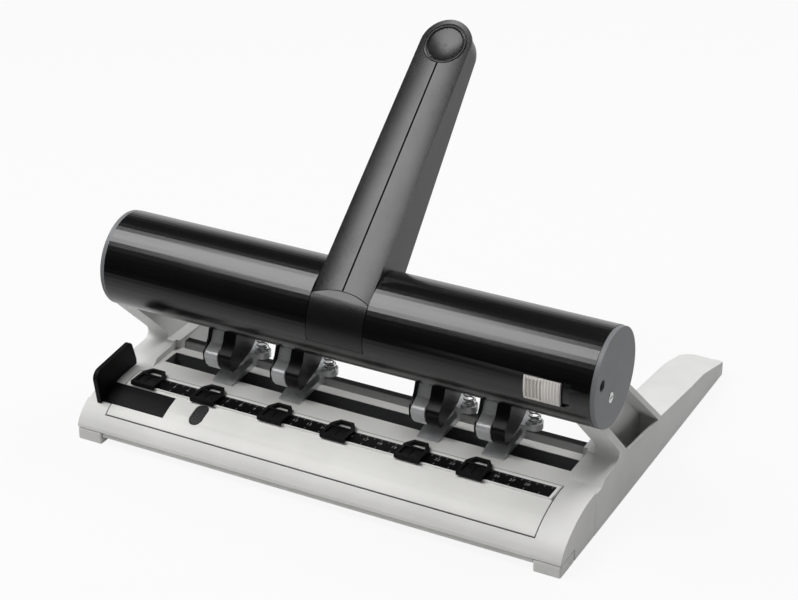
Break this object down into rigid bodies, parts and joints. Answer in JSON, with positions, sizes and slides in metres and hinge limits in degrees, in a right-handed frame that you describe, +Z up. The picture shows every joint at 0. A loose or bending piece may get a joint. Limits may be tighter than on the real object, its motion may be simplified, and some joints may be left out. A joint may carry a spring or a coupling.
{
  "type": "four-hole lever paper punch",
  "caption": "Heavy desk punch with sliding punch units under a round cross tube, worked by one press lever, with a ruler, markers, side stop and chip tray.",
  "frame": {"origin": "middle of the bounding box's underside, on the table", "axes": "+X along the width to the right, +Y to the rear, +Z up"},
  "size_m": [0.3422, 0.275, 0.2506],
  "materials": {
    "light_plastic": "fine-grained light grey",
    "side_plastic": "fine-grained mid grey",
    "foot_rubber": "matte black",
    "ruler_plastic": "satin black",
    "black_steel": "satin black",
    "window_plastic": "textured black",
    "tube_paint": "satin-gloss black",
    "cap_plastic": "mid grey",
    "screw_steel": "bright",
    "badge_plastic": "satin charcoal",
    "slider_plastic": "warm light grey",
    "bearing_steel": "pressed steel",
    "lever_plastic": "satin charcoal",
    "core_plastic": "black",
    "pad_plastic": "charcoal",
    "drive_steel": "ground",
    "die_zinc": "cast and ground",
    "strap_steel": "satin",
    "jaw_plastic": "black",
    "pin_steel": "hardened, ground",
    "spring_steel": "spring wire",
    "stop_plastic": "satin black"
  },
  "bodies": {
    "base": {"base_floor": "light_plastic", "front_housing": "light_plastic", "front_cover": "light_plastic", "left_side_frame": "side_plastic", "right_side_frame": "side_plastic", "front_feet": "light_plastic", "rear_feet": "foot_rubber", "ruler": "ruler_plastic", "guide_rail": "black_steel", "window_insert": "window_plastic", "tube_shell": "tube_paint", "left_end_cap": "cap_plastic", "right_end_cap": "cap_plastic", "cap_screws": "screw_steel", "badge_plate": "badge_plastic", "left_bearing": "bearing_steel", "right_bearing": "bearing_steel"},
    "chip_tray": {"chip_tray": "light_plastic"},
    "lock_slider": {"lock_slider": "slider_plastic"},
    "lever": {"lever_shell": "lever_plastic", "lever_core": "core_plastic", "thumb_pad": "pad_plastic", "lever_hub": "core_plastic", "drive_shaft": "drive_steel", "left_cam": "drive_steel", "right_cam": "drive_steel"},
    "press_bar": {"press_bar": "drive_steel"},
    "side_stop": {"side_stop": "stop_plastic"},
    "punch_unit_1": {"die_frame_1": "die_zinc", "strap_1": "strap_steel", "jaw_1": "jaw_plastic"},
    "pin_1": {"punch_pin_1": "pin_steel", "return_spring_1": "spring_steel"},
    "punch_unit_2": {"die_frame_2": "die_zinc", "strap_2": "strap_steel", "jaw_2": "jaw_plastic"},
    "pin_2": {"punch_pin_2": "pin_steel", "return_spring_2": "spring_steel"},
    "punch_unit_3": {"die_frame_3": "die_zinc", "strap_3": "strap_steel", "jaw_3": "jaw_plastic"},
    "pin_3": {"punch_pin_3": "pin_steel", "return_spring_3": "spring_steel"},
    "punch_unit_4": {"die_frame_4": "die_zinc", "strap_4": "strap_steel", "jaw_4": "jaw_plastic"},
    "pin_4": {"punch_pin_4": "pin_steel", "return_spring_4": "spring_steel"},
    "marker_1": {"marker_1": "stop_plastic"},
    "marker_2": {"marker_2": "stop_plastic"},
    "marker_3": {"marker_3": "stop_plastic"},
    "marker_4": {"marker_4": "stop_plastic"},
    "marker_5": {"marker_5": "stop_plastic"},
    "marker_6": {"marker_6": "stop_plastic"}
  },
  "joints": [
    {"name": "lever_hinge", "type": "hinge", "parent": "base", "child": "lever", "pos_m": [0, -0.0695, 0.101], "axis": [1, 0, 0], "range_deg": [-42, 0], "stiffness_Nm_per_rad": 1.2, "springref_deg": 34.38},
    {"name": "press_bar_slide", "type": "slide", "parent": "base", "child": "press_bar", "axis": [0, 0, -1], "range_m": [0, 0.012]},
    {"name": "unit_1_slide", "type": "slide", "parent": "base", "child": "punch_unit_1", "axis": [1, 0, 0], "range_m": [-0.02, 0.004]},
    {"name": "pin_1_slide", "type": "slide", "parent": "punch_unit_1", "child": "pin_1", "axis": [0, 0, -1], "range_m": [0, 0.012], "deforming": ["return_spring_1"]},
    {"name": "unit_2_slide", "type": "slide", "parent": "base", "child": "punch_unit_2", "axis": [1, 0, 0], "range_m": [-0.004, 0.021]},
    {"name": "pin_2_slide", "type": "slide", "parent": "punch_unit_2", "child": "pin_2", "axis": [0, 0, -1], "range_m": [0, 0.012], "deforming": ["return_spring_2"]},
    {"name": "unit_3_slide", "type": "slide", "parent": "base", "child": "punch_unit_3", "axis": [1, 0, 0], "range_m": [-0.021, 0.004]},
    {"name": "pin_3_slide", "type": "slide", "parent": "punch_unit_3", "child": "pin_3", "axis": [0, 0, -1], "range_m": [0, 0.012], "deforming": ["return_spring_3"]},
    {"name": "unit_4_slide", "type": "slide", "parent": "base", "child": "punch_unit_4", "axis": [1, 0, 0], "range_m": [-0.004, 0.021]},
    {"name": "pin_4_slide", "type": "slide", "parent": "punch_unit_4", "child": "pin_4", "axis": [0, 0, -1], "range_m": [0, 0.012], "deforming": ["return_spring_4"]},
    {"name": "side_stop_slide", "type": "slide", "parent": "base", "child": "side_stop", "axis": [-1, 0, 0], "range_m": [0, 0.04]},
    {"name": "lock_slide", "type": "slide", "parent": "base", "child": "lock_slider", "axis": [1, 0, 0], "range_m": [0, 0.005]},
    {"name": "tray_slide", "type": "slide", "parent": "base", "child": "chip_tray", "axis": [0, -1, 0], "range_m": [0, 0.065]},
    {"name": "marker_1_slide", "type": "slide", "parent": "base", "child": "marker_1", "axis": [1, 0, 0], "range_m": [-0.006, 0.01]},
    {"name": "marker_2_slide", "type": "slide", "parent": "base", "child": "marker_2", "axis": [1, 0, 0], "range_m": [-0.01, 0.01]},
    {"name": "marker_3_slide", "type": "slide", "parent": "base", "child": "marker_3", "axis": [1, 0, 0], "range_m": [-0.01, 0.01]},
    {"name": "marker_4_slide", "type": "slide", "parent": "base", "child": "marker_4", "axis": [1, 0, 0], "range_m": [-0.01, 0.01]},
    {"name": "marker_5_slide", "type": "slide", "parent": "base", "child": "marker_5", "axis": [1, 0, 0], "range_m": [-0.01, 0.01]},
    {"name": "marker_6_slide", "type": "slide", "parent": "base", "child": "marker_6", "axis": [1, 0, 0], "range_m": [-0.01, 0.01]}
  ],
  "couplings": [
    {"joint": "press_bar_slide", "follows": "lever_hinge", "m_per_rad": -0.01637},
    {"joint": "pin_1_slide", "follows": "lever_hinge", "m_per_rad": -0.01637},
    {"joint": "pin_2_slide", "follows": "lever_hinge", "m_per_rad": -0.01637},
    {"joint": "pin_3_slide", "follows": "lever_hinge", "m_per_rad": -0.01637},
    {"joint": "pin_4_slide", "follows": "lever_hinge", "m_per_rad": -0.01637}
  ]
}
